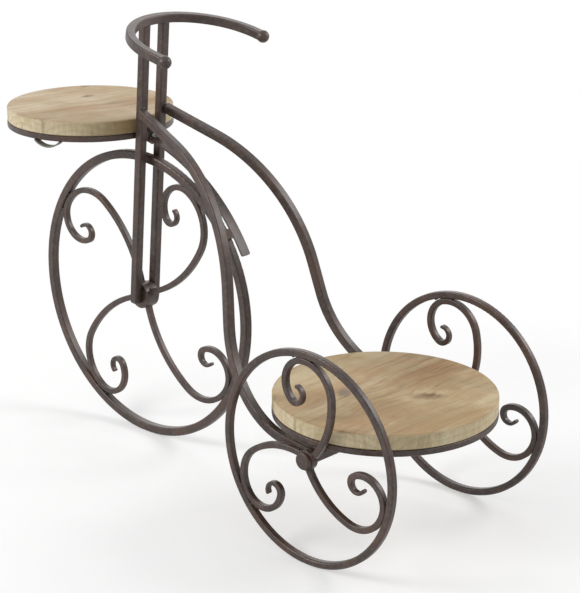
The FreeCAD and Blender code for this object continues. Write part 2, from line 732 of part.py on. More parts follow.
# The bars' ends are cut flush with the posts' rear faces and the axle's front face.
trim_size = f"2 * {bar_spread_half} + 2 * {cell('main_bar')}"
trim_half = evaluate(trim_size) / 2
lean = Rotation(Vector(0, 1, 0), size("post_rake_angle"))
post_corner = lean.multVec(Vector(half_bar - evaluate(trim_size), -trim_half, 0))
post_face = Vector(post_x(size("frame_bar_height")), 0, size("frame_bar_height"))
post_drop = lean.multVec(Vector(0, 0, -trim_half))
post_trim = box("post_trim", trim_size, trim_size, trim_size,
                Placement(post_face + post_corner + post_drop, lean))
axle_corner = Vector(rear_x - half_bar, -trim_half, rear_z - trim_half)
axle_trim = box("axle_trim", trim_size, trim_size, trim_size, Placement(axle_corner, Rotation()))

for side, sign in SIDES.items():
    name = f"{side}_frame_bar"
    bar = swept_bar(name, frame_bar_path, 5)
    axis = Vector(bar_axis.x, sign * bar_axis.y, 0)
    rise_axis = Vector(bar_rise_axis.x, sign * bar_rise_axis.y, bar_rise_axis.z)
    turn = Rotation(axis, rise_axis.cross(axis), rise_axis, "ZXY")
    bar.Placement = Placement(Vector(rear_x, sign * frame_bar_y, rear_z), turn)
    post_end = cut(f"{name}_post_end", bar, post_trim)
    keep(name, cut(f"{name}_axle_end", post_end, axle_trim))


# Rear axle: square bar with a round journal at each end, and a rounded cap on each journal

axle_body = new_body("rear_axle")
bar_section = new_sketch(axle_body, "XZ_Plane", "rear_axle_section")
draw_rounded_square(bar_section, cell("main_bar"), cell("main_corner"))
axle_bar = axle_body.newObject("PartDesign::Pad", "rear_axle_bar")
axle_bar.Profile = bar_section
axle_bar.Midplane = True
shoulder = f"{cell('rear_track')} - {cell('rear_hub_width')} - 2 * {cell('side_gap')}"
axle_bar.setExpression("Length", shoulder)
doc.recompute()
journal = new_sketch(axle_body, "XZ_Plane", "rear_axle_journal")
journal.addGeometry(Part.Circle(Vector(0, 0, 0), Vector(0, 0, 1), size("axle_radius")))
journal.addConstraint(Sketcher.Constraint("Coincident", 0, 3, -1, 1))
bind(journal, Sketcher.Constraint("Radius", 0, size("axle_radius")), cell("axle_radius"))
axle_ends = axle_body.newObject("PartDesign::Pad", "rear_axle_ends")
axle_ends.Profile = journal
axle_ends.Midplane = True
hub_reach = f"{cell('rear_track')} + {cell('rear_hub_width')} + 2 * {cell('side_gap')}"
axle_ends.setExpression("Length", f"{hub_reach} + 2 * {cell('cap_socket')}")
keep("rear_axle", axle_body, Placement(Vector(rear_x, 0, rear_z), Rotation()))

cap_bore = f"{cell('axle_radius')} + {cell('weld_gap')}"
cap_depth = f"{cell('cap_socket')} + {cell('cap_crown')}"
cap_outline = [("0", cell("cap_socket")), (cap_bore, cell("cap_socket")), (cap_bore, "0"),
               (cell("cap_radius"), "0"), (cell("cap_radius"), cap_depth), ("0", cap_depth)]
cap_y = evaluate(hub_reach) / 2
for side, sign in SIDES.items():
    cap, cap_turn = turned(f"{side}_axle_cap", "XY_Plane", cap_outline)

    def is_crown(edge):
        return is_circle(edge) and abs(edge.CenterOfMass.y - evaluate(cap_depth)) < size("weld_gap")

    round_edges(cap, cap_turn, is_crown, cell("cap_round"))
    outward = Rotation(Vector(0, 0, 1), QUARTER_TURN * (1 - sign))
    keep(f"{side}_axle_cap", cap, Placement(Vector(rear_x, sign * cap_y, rear_z), outward))


# Mudguard strip: an arc from the ring's bracket down behind the front wheel, with a stop block over the rim

strip_radius = f"{cell('mudguard_radius_share')} * {cell('front_wheel_radius')}"
arc_radius = evaluate(strip_radius)
strip_half = f"{cell('mudguard_thickness')} / 2"
strip_side = f"{cell('mudguard_width')} / 2"
strip_inner = f"{strip_radius} - {strip_half}"
strip_outer = f"{strip_radius} + {strip_half}"
strip_outline = rectangle(strip_inner, strip_outer, f"-{strip_side}", strip_side)
strip_sweep = f"{cell('mudguard_sweep_angle')} * 1 deg"
strip, strip_turn = turned("mudguard_strip", "XY_Plane", strip_outline, strip_sweep)
sweep = size("mudguard_sweep_angle")


def is_free_corner(edge):
    """True for the short edges across the thickness at the strip's free end."""
    return edge.Length < 2 * size("mudguard_thickness") and edge.CenterOfMass.z < 0


round_edges(strip, strip_turn, is_free_corner, cell("mudguard_corner"))
start_angle = QUARTER_TURN - size("mudguard_slope_angle")
strip_back = size("mudguard_back_share") * size("front_wheel_radius")
strip_rise = size("mudguard_rise_share") * size("front_wheel_radius")
strip_start = front_centre + Vector(strip_back, 0, strip_rise)
start_out = Vector(polar(1.0, start_angle)[0], 0, polar(1.0, start_angle)[1])
strip_centre = strip_start - start_out * arc_radius
keep("mudguard_strip", strip, Placement(strip_centre, Rotation(Vector(0, 1, 0), sweep / 2 - start_angle)))


def strip_point(turn, depth):
    """Point of the strip's middle plane, a turn along it from its start and a depth below its middle."""
    reach = arc_radius - depth
    x, z = polar(reach, start_angle - turn)
    return strip_centre + Vector(x, 0, z)


under_strip = size("mudguard_thickness") / 2
under_radius = arc_radius - under_strip
stop_sag = under_radius - math.sqrt(under_radius ** 2 - (size("stop_length") / 2) ** 2)
stop_seat = strip_point(size("stop_turn_angle"), under_strip + stop_sag)
stop_height = (stop_seat - front_centre).Length - size("front_wheel_radius") - size("stop_clearance")
stop_turn = Rotation(Vector(0, 1, 0), size("stop_turn_angle") - start_angle + QUARTER_TURN)
stop_corner = stop_turn.multVec(Vector(-size("stop_length") / 2, -size("stop_width") / 2, -stop_height))
stop = box("stop", cell("stop_length"), cell("stop_width"), str(stop_height),
           Placement(stop_seat + stop_corner, stop_turn))
keep("mudguard_stop", stop)


# Board rings, their tabs and screws, and the boards, each glued up from three staves

ring_height = size("ring_bar")


def ring_tab(name, placement):
    """Flat tab with a hole for a wood screw, reaching inwards from its ring."""
    plate = box(f"{name}_plate", cell("tab_length"), cell("tab_width"), cell("tab_thickness"), placement)
    hole_at = placement.multVec(Vector(size("tab_length") - size("screw_inset"), size("tab_width") / 2, 0))
    hole = cylinder(f"{name}_hole", f"{cell('screw_radius')} + {cell('screw_gap')}", cell("tab_thickness"),
                    Placement(hole_at, Rotation()))
    return cut(f"{name}_tab", plate, hole), hole_at


def board_set(where, centre, board_edge, ring_outer, tab_angles, grain_angle):
    ring_top = centre.z - size("board_thickness")
    ring_inner = f"{ring_outer} - {cell('ring_bar')}"
    ring = turned_ring(f"{where}_ring", "XZ_Plane", ring_inner, ring_outer, f"-{cell('ring_bar')}", "0",
                       cell("ring_corner"))
    ring.Placement = Placement(Vector(centre.x, 0, ring_top), Rotation())

    half_tab = size("tab_width") / 2
    tab_reach = math.sqrt((evaluate(ring_inner) - size("weld_gap")) ** 2 - half_tab ** 2)
    tabs = []
    screws = []
    holes = []
    for number, angle in enumerate(tab_angles, start=1):
        name = f"{where}_{number}"
        turn = Rotation(Vector(0, 0, 1), angle)
        corner = turn.multVec(Vector(tab_reach - size("tab_length"), -half_tab, 0))
        level = ring_top - size("tab_thickness")
        tab, hole_at = ring_tab(name, Placement(Vector(centre.x, 0, level) + corner, turn))
        tabs.append(tab)
        bite = f"{cell('tab_thickness')} + {cell('screw_bite')}"
        head_low = f"-{cell('screw_head_height')}"
        outline = [("0", head_low), (cell("screw_head_radius"), head_low), (cell("screw_head_radius"), "0"),
                   (cell("screw_radius"), "0"), (cell("screw_radius"), f"{bite} - {cell('screw_point')}"),
                   ("0", bite)]
        screw, _ = turned(f"{name}_screw", "XZ_Plane", outline)
        screw.Placement = Placement(hole_at, Rotation())
        screws.append(screw)
        pilot_at = Placement(Vector(hole_at.x, hole_at.y, ring_top), Rotation())
        pilot_radius = f"{cell('screw_radius')} + {cell('weld_gap')}"
        holes.append(cylinder(f"{name}_pilot", pilot_radius, cell("screw_bite"), pilot_at))
    keep(f"{where}_ring_tabs", group(f"{where}_tabs", tabs))
    keep(f"{where}_board_screws", group(f"{where}_screws", screws))

    blank = turned_ring(f"{where}_blank", "XZ_Plane", "0", board_edge, "0", cell("board_thickness"),
                        cell("board_round"))
    blank.Placement = Placement(Vector(centre.x, 0, ring_top), Rotation())
    drilled = cut(f"{where}_drilled", blank, group(f"{where}_pilots", holes))
    radius = evaluate(board_edge)
    seam = size(f"{where}_seam")
    width = size(f"{where}_stave_width")
    turn = Rotation(Vector(0, 0, 1), grain_angle)
    spans = ((-radius - CUT_MARGIN, seam), (seam, seam + width), (seam + width, radius + CUT_MARGIN))
    for number, (low, high) in enumerate(spans, start=1):
        corner = turn.multVec(Vector(low, -radius - CUT_MARGIN, 0))
        plank = doc.addObject("Part::Box", f"{where}_plank_{number}")
        plank.Length = high - low
        plank.Width = 2 * (radius + CUT_MARGIN)
        plank.setExpression("Height", cell("board_thickness"))
        plank.Placement = Placement(Vector(centre.x, 0, ring_top) + corner, turn)
        stave = doc.addObject("Part::Common", f"{where}_stave_{number}")
        stave.Base = drilled
        stave.Tool = plank
        keep(f"{where}_board_stave_{number}", stave)
    return ring, ring_top


front_board = Vector(board_x, 0, evaluate(front_board_top))
rear_board = Vector(rear_board_x, 0, evaluate(rear_board_top))
front_grain = size("front_grain_angle")
rear_grain = size("rear_grain_angle")
front_ring, front_ring_top = board_set("front", front_board, front_board_edge, ring_outer_front,
                                       FRONT_TAB_ANGLES, front_grain)
rear_ring, _ = board_set("rear", rear_board, rear_board_edge, ring_outer_rear, REAR_TAB_ANGLES, rear_grain)
keep("rear_board_ring", rear_ring)

# Bracket between the posts behind the front ring, with its bolt through the ring's bar

ring_back = board_x + evaluate(ring_outer_front) + size("weld_gap")
ring_middle = front_ring_top - ring_height / 2
bracket_low = front_ring_top - ring_height - size("bracket_drop")
bracket_width = f"{cell('post_gap')} - 2 * {cell('weld_gap')}"
bracket_height = f"{cell('ring_bar')} + {cell('bracket_drop')} + {cell('bracket_rise')}"
bracket_corner = Vector(ring_back, -evaluate(bracket_width) / 2, bracket_low)
bracket_block = box("bracket_block", cell("bracket_depth"), bracket_width, bracket_height,
                    Placement(bracket_corner, Rotation()))
bolt_start = Vector(ring_back - size("ring_bar") - size("nut_height") - size("screw_gap"), 0, ring_middle)
bolt_length = (f"{cell('bracket_depth')} + {cell('ring_bar')} + {cell('nut_height')}"
               f" + {cell('screw_gap')} + {cell('weld_gap')}")
bolt_hole_length = f"{bolt_length} + {cell('bolt_head_height')}"
bolt_hole = cylinder("bolt_hole", f"{cell('bolt_radius')} + {cell('screw_gap')}", bolt_hole_length,
                     Placement(bolt_start, along_x))
keep("front_ring_bracket", cut("bracket", bracket_block, bolt_hole))
keep("front_board_ring", cut("front_ring_bored", front_ring, bolt_hole))

bolt_outline = [("0", "0"), (cell("bolt_radius"), "0"), (cell("bolt_radius"), bolt_length),
                (cell("bolt_head_radius"), bolt_length),
                (cell("bolt_head_radius"), f"{bolt_length} + {cell('bolt_head_height')}"),
                ("0", f"{bolt_length} + {cell('bolt_head_height')}")]
bolt, _ = turned("ring_bolt", "XZ_Plane", bolt_outline)
keep("front_ring_bolt", bolt, Placement(bolt_start, along_x))
nut_blank = doc.addObject("Part::Prism", "nut_blank")
nut_blank.Polygon = 6
nut_blank.setExpression("Circumradius", cell("nut_radius"))
nut_blank.setExpression("Height", cell("nut_height"))
nut_blank.Placement = Placement(bolt_start, along_x)
nut_bore = cylinder("nut_bore", f"{cell('bolt_radius')} + {cell('weld_gap')}", cell("nut_height"),
                    Placement(bolt_start, along_x))
keep("front_ring_nut", cut("ring_nut", nut_blank, nut_bore))


# Loop strap: a bent strip whose two ends meet the underside of the front ring

loop_half = f"{cell('loop_thickness')} / 2"
loop_outline = rectangle(f"{cell('loop_radius')} - {loop_half}", f"{cell('loop_radius')} + {loop_half}",
                         f"-{cell('loop_width')} / 2", f"{cell('loop_width')} / 2")
loop, _ = turned("front_ring_loop", "XY_Plane", loop_outline, f"{cell('loop_turn_angle')} * 1 deg")
ring_line = evaluate(ring_outer_front) - size("ring_bar") / 2
loop_x, loop_y = polar(ring_line, size("loop_angle"))
loop_at = Vector(board_x + loop_x, loop_y, front_ring_top - ring_height)
inner_loop = size("loop_radius") - size("loop_thickness") / 2
loop_lift = inner_loop * math.cos(math.radians(size("loop_turn_angle") / 2)) - size("weld_gap")
loop_face = Rotation(Vector(0, 0, 1), size("loop_angle") - QUARTER_TURN)
loop_down = Rotation(Vector(0, 1, 0), QUARTER_TURN)
keep("front_ring_loop", loop, Placement(loop_at + Vector(0, 0, loop_lift), loop_face.multiply(loop_down)))


# Seats that carry the rear ring on the axle

seat_low = rear_z + half_bar
seat_height = (f"{rear_board_top} - {cell('board_thickness')} - {cell('ring_bar')}"
               f" - {cell('rear_wheel_radius')} - {cell('main_bar')} / 2")
seat_line = evaluate(ring_outer_rear) - size("ring_bar") + size("seat_width") / 2
seats = []
for side, sign in SIDES.items():
    corner = Vector(rear_x - size("seat_length") / 2, sign * seat_line - size("seat_width") / 2, seat_low)
    seats.append(box(f"{side}_seat", cell("seat_length"), cell("seat_width"), seat_height,
                     Placement(corner, Rotation())))
keep("rear_ring_seats", group("ring_seats", seats))

doc.recompute()
failed = [item.Name for item in doc.Objects if "Invalid" in item.State or "Error" in item.State]
if failed:
    raise RuntimeError(f"failed objects: {failed}")
os.makedirs("parts", exist_ok=True)
for name, piece in nodes.items():
    shape = piece.Shape
    if shape.isNull() or not shape.isValid():
        raise RuntimeError(f"bad shape: {name}")
    shape.exportStep(f"parts/{name}.step")
    print(f"{name}: {len(shape.Solids)} solid, {shape.Volume:.0f} mm3")
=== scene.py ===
import json
import math
import bpy
from mathutils import Matrix, Vector


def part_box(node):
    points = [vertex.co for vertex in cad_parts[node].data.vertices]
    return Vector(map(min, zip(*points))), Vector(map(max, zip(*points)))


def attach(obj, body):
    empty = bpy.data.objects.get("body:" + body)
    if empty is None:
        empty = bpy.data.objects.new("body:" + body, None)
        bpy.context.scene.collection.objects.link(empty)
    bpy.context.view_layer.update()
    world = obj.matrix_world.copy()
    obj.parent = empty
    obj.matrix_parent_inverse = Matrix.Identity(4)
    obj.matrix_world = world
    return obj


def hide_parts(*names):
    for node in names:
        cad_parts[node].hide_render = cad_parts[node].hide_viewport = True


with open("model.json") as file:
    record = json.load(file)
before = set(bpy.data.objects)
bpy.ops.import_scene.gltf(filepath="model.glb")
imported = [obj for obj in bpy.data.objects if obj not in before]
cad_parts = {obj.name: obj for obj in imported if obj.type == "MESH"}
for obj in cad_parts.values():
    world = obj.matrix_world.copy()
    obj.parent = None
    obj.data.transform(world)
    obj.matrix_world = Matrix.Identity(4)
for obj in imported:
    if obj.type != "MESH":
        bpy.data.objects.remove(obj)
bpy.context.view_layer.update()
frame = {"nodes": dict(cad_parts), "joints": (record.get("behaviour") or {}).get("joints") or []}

# Front wheel: a rim of square steel bar, a turned hub and four scroll spokes. The spokes are bent from
# thinner bar and welded to the rim and the hub, and the wheel is coated in satin bronze-brown paint.
# Sizes here and in the sections below are in metres.


class Shade:
    """A value or colour of a finish: arithmetic on it adds Math nodes, and node() adds any other node."""

    def __init__(self, tree, socket=None):
        self.tree = tree
        self.socket = socket

    def node(self, kind, settings=None, inputs=None, output=0):
        """A new node with its settings, and each input either linked or set, seen at one of its outputs."""
        made = self.tree.nodes.new(kind)
        for key, value in (settings or {}).items():
            if key == "stops":
                self.set_stops(made.color_ramp, value)
            else:
                setattr(made, key, value)
        for key, value in (inputs or {}).items():
            if isinstance(value, Shade):
                self.tree.links.new(value.socket, made.inputs[key])
            else:
                made.inputs[key].default_value = value
        return Shade(self.tree, made.outputs[output] if made.outputs else None)

    def set_stops(self, ramp, stops):
        """Grey levels along a ramp, each a place and a value, from the lowest place to the highest."""
        first, last = ramp.elements
        for element, (place, value) in ((first, stops[0]), (last, stops[-1])):
            element.position = place
            element.color = (value, value, value, 1.0)
        for place, value in stops[1:-1]:
            ramp.elements.new(place).color = (value, value, value, 1.0)

    def other(self, output):
        """Another output of the same node."""
        return Shade(self.tree, self.socket.node.outputs[output])

    def maths(self, operation, *values):
        return self.node("ShaderNodeMath", {"operation": operation}, dict(enumerate((self, *values))))

    def __add__(self, value):
        return self.maths("ADD", value)

    __radd__ = __add__

    def __sub__(self, value):
        return self.maths("SUBTRACT", value)

    def __rsub__(self, value):
        return self * -1.0 + value

    def __mul__(self, value):
        return self.maths("MULTIPLY", value)

    __rmul__ = __mul__

    def __truediv__(self, value):
        return self.maths("DIVIDE", value)

    def ramp(self, *stops):
        return self.node("ShaderNodeValToRGB", {"stops": stops}, {0: self})

    def blend(self, share, under, over):
        return self.node("ShaderNodeMix", {"data_type": "RGBA"}, {0: share, 6: under, 7: over}, 2)

    def noise(self, vector, scale, detail=2.0, roughness=0.5):
        sockets = {"Vector": vector, "Scale": scale, "Detail": detail, "Roughness": roughness}
        return self.node("ShaderNodeTexNoise", {}, sockets)

    def bumped(self, height, strength, distance):
        sockets = {"Height": height, "Strength": strength, "Distance": distance}
        return self.node("ShaderNodeBump", {}, sockets)

    def coat(self, fixed, varied):
        """The finish's surface, from constants and from values that change over it."""
        surface = self.node("ShaderNodeBsdfPrincipled", {}, {**fixed, **varied})
        self.node("ShaderNodeOutputMaterial", {}, {"Surface": surface})


def new_finish(name):
    material = bpy.data.materials.new(name)
    material.use_nodes = True
    material.node_tree.nodes.clear()
    return material, Shade(material.node_tree)


def paint_tone(red, green, blue):
    """Screen colour, 0 to 255, as linear light."""
    shares = [value / 255 for value in (red, green, blue)]
    linear = [share / 12.92 if share <= 0.04045 else ((share + 0.055) / 1.055) ** 2.4 for share in shares]
    return (*linear, 1.0)


def bronze_paint(name, low, high, rust, sheen):
    """Satin paint, uneven in tone, with a fine orange-peel skin over slightly hammered bar."""
    material, paint = new_finish(name)
    place = paint.node("ShaderNodeTexCoord", output="Object")
    cloud = paint.noise(place, scale=24.0, detail=3.0, roughness=0.55)
    mottle = paint.noise(place, scale=150.0, detail=4.0, roughness=0.6)
    grain = paint.noise(place, scale=1300.0)
    hammer = paint.noise(place, scale=48.0, detail=1.0)
    blotch = (cloud * 0.6 + mottle * 0.4).ramp((0.36, 0.0), (0.64, 1.0))
    tinge = cloud.ramp((0.48, 0.0), (0.64, 1.0)) * 0.45
    dust = (mottle * 0.7 + grain * 0.3).ramp((0.50, 0.0), (0.70, 1.0)) * 0.35
    dust_tone = paint_tone(112, 103, 96)
    base = paint.blend(blotch, low, high)
    base = paint.blend(tinge, base, rust)
    base = paint.blend(dust * sheen, base, dust_tone)
    gloss = 0.26 + mottle * 0.20 + grain * 0.08
    skin = hammer * 0.7 + mottle * 0.22 + grain * 0.08
    relief = paint.bumped(skin, strength=0.35, distance=0.0016)
    paint.coat({"Metallic": 0.1, "Specular IOR Level": 0.6 * sheen},
               {"Base Color": base, "Roughness": gloss, "Normal": relief})
    return material


def finish_nodes(material, *names):
    for name in names:
        frame["nodes"][name].material_slots[0].material = material


bar_paint = bronze_paint("bar_paint", low=paint_tone(52, 37, 31), high=paint_tone(71, 56, 49),
                         rust=paint_tone(84, 54, 41), sheen=1.0)
scrolls = [f"front_scroll_{number}" for number in range(1, 5)]
finish_nodes(bar_paint, "front_rim", "front_hub", *scrolls)


def weld_drop():
    """One weld of unit length and radius along X: a rope of overlapping drops, drawn in at its ends."""
    start = -0.5
    start_radius = 0.55
    swells = (1.55, 1.22, 0.92, 1.09, 0.90, 1.10, 0.92, 1.08, 0.82, 0.62)
    step = 1.0 / len(swells)
    bpy.ops.object.select_all(action="DESELECT")
    bpy.ops.mesh.primitive_circle_add(vertices=10, radius=start_radius, fill_type="NGON",
                                      location=(start, 0, 0), rotation=(0, math.pi / 2, 0))
    drop = bpy.context.object
    bpy.ops.object.transform_apply(location=True, rotation=True, scale=True)
    bpy.ops.object.mode_set(mode="EDIT")
    bpy.ops.mesh.select_all(action="SELECT")
    for count, swell in enumerate(swells, start=1):
        bpy.ops.mesh.extrude_region_move(TRANSFORM_OT_translate={"value": (step, 0, 0)})
        bpy.ops.transform.resize(value=(1, swell, swell), center_override=(start + step * count, 0, 0))
    bpy.ops.mesh.select_all(action="SELECT")
    bpy.ops.mesh.normals_make_consistent(inside=False)
    bpy.ops.object.mode_set(mode="OBJECT")
    smooth = drop.modifiers.new("smooth", "SUBSURF")
    smooth.levels = 1
    smooth.render_levels = 1
    bpy.ops.object.modifier_apply(modifier="smooth")
    bpy.ops.object.shade_smooth()
    mesh = drop.data.copy()
    bpy.data.objects.remove(drop)
    return mesh


weld_mesh = weld_drop()


def joined(name, meshes):
    """One piece from several meshes that are already in place."""
    bpy.ops.object.select_all(action="DESELECT")
    for mesh in meshes:
        part = bpy.data.objects.new(name, mesh)
        bpy.context.collection.objects.link(part)
        part.select_set(True)
        bpy.context.view_layer.objects.active = part
    bpy.ops.object.join()
    piece = bpy.context.object
    piece.name = name
    return piece


def weld_piece(name, body, runs):
    """All the welds of one joint group, each from a start to an end with a radius, as one piece."""
    meshes = []
    for start, end, radius in runs:
        along = end - start
        turn = along.to_track_quat("X", "Z")
        mesh = weld_mesh.copy()
        mesh.transform(Matrix.LocRotScale((start + end) / 2, turn, (along.length, radius, radius)))
        meshes.append(mesh)
    piece = joined(name, meshes)
    piece.data.materials.clear()
    piece.data.materials.append(bar_paint)
    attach(piece, body)


groove_places = (-0.0125, 0.0145)
groove_sink = 0.0006
groove_weld = 0.0017
foot_depth = 0.0012
foot_clear = 0.0004
foot_weld = 0.0015
foot_face = 0.0042
foot_face_share = 0.985
foot_face_weld = 0.0013
half_scroll_weld = 0.0036


def wheel_centre(body):
    joint = next(item for item in frame["joints"] if item["child"] == body)
    return Vector(joint["pos_m"])


def sideways(outward):
    """Direction along the rim, a quarter turn from an outward direction in the wheel's plane."""
    return Vector((-outward.z, 0, outward.x))


def scroll_welds(body, scroll, hub_node):
    """Welds in the two grooves where a scroll lies on the rim, and round its foot on the hub."""
    centre = wheel_centre(body)
    half_run = Vector((0, half_scroll_weld, 0))
    points = [vertex.co - centre for vertex in frame["nodes"][scroll].data.vertices]
    flat = [Vector((point.x, 0, point.z)) for point in points]
    rim_point = max(flat, key=lambda point: point.length)
    outward = rim_point.normalized()
    runs = []
    for place in groove_places:
        at = centre + rim_point + sideways(outward) * place - outward * groove_sink
        runs.append((at - half_run, at + half_run, groove_weld))
    low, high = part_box(hub_node)
    hub_radius = (high.z - low.z) / 2
    foot = [point for point in flat if point.length < hub_radius + foot_depth]
    outward = (sum(foot, Vector()) / len(foot)).normalized()
    tangent = sideways(outward)
    spread = [point.dot(tangent) for point in foot]
    for side in (min(spread) - foot_clear, max(spread) + foot_clear):
        at = centre + outward * math.sqrt(hub_radius ** 2 - side ** 2) + tangent * side
        runs.append((at - half_run, at + half_run, foot_weld))
    for face in (-foot_face, foot_face):
        at = centre + outward * hub_radius * foot_face_share + Vector((0, face, 0))
        runs.append((at + tangent * min(spread), at + tangent * max(spread), foot_face_weld))
    return runs


wheel_runs = [run for scroll in scrolls for run in scroll_welds("front_wheel", scroll, "front_hub")]
weld_piece("front_wheel_welds", "front_wheel", wheel_runs)

# Fork and handlebar: two posts of square bar on the front axle pin, and a bar bent to a half circle
# across their tops, with a steel ball on each end. The posts are welded all round under the bar.

finish_nodes(bar_paint, "left_fork_post", "right_fork_post", "front_axle_pin", "handlebar",
             "left_grip_ball", "right_grip_ball")

post_depth = 0.0119
post_front_sink = 0.0006
post_back_sink = 0.0022
post_top_weld = 0.0015
corner_gap = 0.001


def weld_across(x, z, start_y, end_y, radius):
    return Vector((x, start_y, z)), Vector((x, end_y, z)), radius


top_runs = []
for post in ("left_fork_post", "right_fork_post"):
    low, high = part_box(post)
    front = high.x - post_depth
    back = high.x
    front_top = high.z - post_front_sink
    back_top = high.z - post_back_sink
    for y in (low.y, high.y):
        start = Vector((front + corner_gap, y, front_top))
        end = Vector((back - corner_gap, y, back_top))
        top_runs.append((start, end, post_top_weld))
    for x, z in ((front, front_top), (back, back_top)):
        top_runs.append(weld_across(x, z, low.y + corner_gap, high.y - corner_gap, post_top_weld))
weld_piece("handlebar_welds", "frame", top_runs)

# Frame bars: two long bars of the same stock, each bent twice, that run from the rear corners of the
# posts down to the rear axle. They are welded to the posts and butt-welded to the axle, and two small
# blocks on the axle carry the rear ring.

finish_nodes(bar_paint, "left_frame_bar", "right_frame_bar", "rear_axle", "left_axle_cap",
             "right_axle_cap", "rear_ring_seats")

half_bar = 0.0060
bar_inner = 0.0168
bar_upper_corner = Vector((0.0006, 0, -0.0002))
bar_lower_corner = Vector((-0.0004, 0, -0.0130))
bar_post_weld = 0.0018
bar_side_weld = 0.0017
butt_half = 0.0055
butt_edge = 0.0061
butt_sink = 0.0003
butt_weld = 0.0016
seat_weld = 0.0015


def weld_upright(x, y, low_z, high_z, radius):
    return Vector((x, y, low_z)), Vector((x, y, high_z)), radius


bar_runs = []
axle_low, axle_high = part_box("rear_axle")
seat_low, seat_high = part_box("rear_ring_seats")
for side, sign in (("left", -1), ("right", 1)):
    low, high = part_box(f"{side}_frame_bar")
    post_low, post_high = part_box(f"{side}_fork_post")
    post_outer = sign * max(abs(post_low.y), abs(post_high.y))
    bar_corner = Vector((low.x, 0, high.z))
    upper = bar_corner + bar_upper_corner
    lower = bar_corner + bar_lower_corner
    for corner in (upper, lower):
        bar_runs.append(weld_across(corner.x, corner.z, sign * bar_inner, post_outer, bar_post_weld))
    outer = Vector((0, post_outer, 0))
    bar_runs.append((upper + outer, lower + outer, bar_side_weld))
    bar_y = sign * (max(abs(low.y), abs(high.y)) - half_bar)
    for z in (axle_low.z + butt_sink, axle_high.z - butt_sink):
        bar_runs.append(weld_across(axle_low.x, z, bar_y - butt_half, bar_y + butt_half, butt_weld))
    for y in (bar_y - butt_edge, bar_y + butt_edge):
        bar_runs.append(weld_upright(axle_low.x, y, axle_low.z + corner_gap,
                                     axle_high.z - corner_gap, butt_weld))
    seat_y = sign * (seat_high.y - half_bar)
    for x in (seat_low.x, seat_high.x):
        for z in (seat_low.z, seat_high.z):
            bar_runs.append(weld_across(x, z, seat_y - butt_half, seat_y + butt_half, seat_weld))
weld_piece("frame_bar_welds", "frame", bar_runs)

# Rear wheels: smaller rims on stub hubs, each with three scrolls, free to turn on the ends of the axle
# under rounded caps. The welds and the paint are those of the front wheel.

for side in ("left", "right"):
    body = f"{side}_rear_wheel"
    rear_scrolls = [f"{side}_rear_scroll_{place}" for place in ("top", "front", "rear")]
    finish_nodes(bar_paint, f"{side}_rear_rim", f"{side}_rear_hub", *rear_scrolls)
    runs = [run for scroll in rear_scrolls for run in scroll_welds(body, scroll, f"{side}_rear_hub")]
    weld_piece(f"{side}_rear_wheel_welds", body, runs)

# Ring bracket and mudguard strip: a block welded between the posts, painted near-black as painted shade of
# the
# # recess under the strip, and a flat steel strip that curves from it down behind the front wheel, welded
# to the
# # posts, with a small stop block under it.

finish_nodes(bar_paint, "mudguard_strip", "mudguard_stop")
# Painted shade: the bracket's near-black tones stand for the shadow in the recess between the posts, not
# its own paint colour.
bracket_painted_shade = bronze_paint("bracket_painted_shade", low=paint_tone(26, 20, 18), high=paint_tone(38, 30, 27),
                             rust=paint_tone(44, 30, 25), sheen=0.4)
finish_nodes(bracket_painted_shade, "front_ring_bracket")

strip_side = 0.0094
strip_side_sink = 0.0018
strip_side_run = Vector((0.0105, 0, -0.0026))
strip_side_weld = 0.0024
strip_end_half = 0.0075
strip_end_levels = (0.0002, -0.0034)
strip_end_weld = 0.0013
bracket_weld = 0.0017

guard_runs = []
bracket_low, bracket_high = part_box("front_ring_bracket")
strip_low, strip_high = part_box("mudguard_strip")
for sign in (-1, 1):
    start = Vector((strip_low.x, sign * strip_side, strip_high.z - strip_side_sink))
    guard_runs.append((start, start + strip_side_run, strip_side_weld))
    guard_runs.append(weld_upright(bracket_high.x, sign * bracket_high.y, bracket_low.z + corner_gap,
                                   bracket_high.z - corner_gap, bracket_weld))
for level in strip_end_levels:
    guard_runs.append(weld_across(strip_low.x, strip_high.z + level, -strip_end_half, strip_end_half,
                                  strip_end_weld))
weld_piece("mudguard_welds", "frame", guard_runs)

# Board rings: hoops of thin square bar under the boards, with flat tabs welded inside for the wood
# screws. A bent grey strap hangs under the near side of the front hoop, and a bright plated bolt and
# nut hold that hoop to its bracket.

finish_nodes(bar_paint, "front_board_ring", "rear_board_ring", "front_ring_tabs", "rear_ring_tabs")
strap_paint = bronze_paint("strap_paint", low=paint_tone(104, 104, 98), high=paint_tone(132, 131, 124),
                           rust=paint_tone(110, 104, 94), sheen=1.0)
finish_nodes(strap_paint, "front_ring_loop")

tab_turns = {"front": (60, 180, 300), "rear": (40, 140, 220, 320)}
ring_inset = 0.0083
tab_drop = 0.0027
half_tab_weld = 0.006
tab_weld = 0.0014
strap_turn = -71.2
strap_circle = 0.1118
half_strap = 0.0194
half_strap_weld = 0.0045
strap_weld = 0.0013
strap_sink = 0.0002


def ring_outward(turn):
    """Direction from a ring's middle at an angle in degrees."""
    return Vector((math.cos(math.radians(turn)), math.sin(math.radians(turn)), 0))


def ring_tangent(turn):
    outward = ring_outward(turn)
    return Vector((-outward.y, outward.x, 0))


